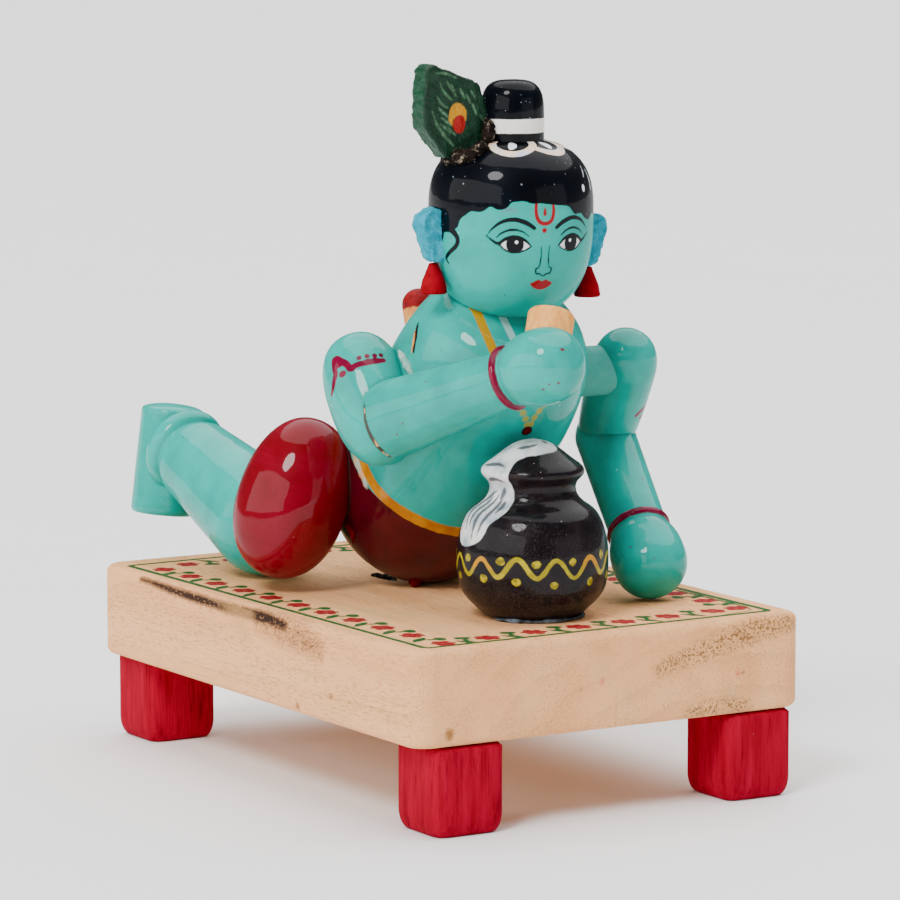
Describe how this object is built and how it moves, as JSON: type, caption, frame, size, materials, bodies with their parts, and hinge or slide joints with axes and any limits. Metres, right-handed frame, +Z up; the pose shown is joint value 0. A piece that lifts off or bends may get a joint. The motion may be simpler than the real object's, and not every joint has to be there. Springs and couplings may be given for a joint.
{
  "type": "krishna figure",
  "caption": "Painted wooden folk toy of baby Krishna crawling on a low stool, one hand raised with butter, a butter pot before him; it stands on the stool's legs.",
  "frame": {"origin": "on the floor, under the middle of the whole toy's box", "axes": "+X towards the figure's left, -Y the way it crawls and faces, +Z up"},
  "size_m": [0.0904, 0.1418, 0.1454],
  "materials": {
    "board": "bare planed hardwood, printed flower border",
    "skin": "gloss lacquer, turquoise",
    "hair": "gloss lacquer, blue-black",
    "ear": "matte paint over rough wood",
    "earring": "matte dye",
    "feather": "painted, semi-gloss",
    "bare_wood": "bare turned wood",
    "peg": "dyed wood, red end",
    "glue": "dried glue on wood",
    "shorts": "gloss lacquer, deep red",
    "pot": "gloss lacquer, brown-black",
    "stool_leg": "thin red dye, grain showing"
  },
  "bodies": {
    "root": {"board": "board", "torso": "skin", "head": "skin", "topknot": "hair", "ear_right": "ear", "earring_right": "earring", "ear_left": "ear", "earring_left": "earring", "peacock_feather": "feather", "back_peg": "peg", "upper_arm_right": "skin", "forearm_right": "skin", "butter_peg": "bare_wood", "upper_arm_left": "skin", "forearm_left": "skin", "shoulder_dowel_left": "glue", "thigh_right": "shorts", "shin_right": "skin", "foot_right": "skin", "thigh_left": "shorts", "shin_left": "skin", "foot_left": "skin", "butter_pot": "pot", "stool_leg_front_right": "stool_leg", "stool_leg_back_right": "stool_leg", "stool_leg_front_left": "stool_leg", "stool_leg_back_left": "stool_leg"}
  },
  "joints": []
}
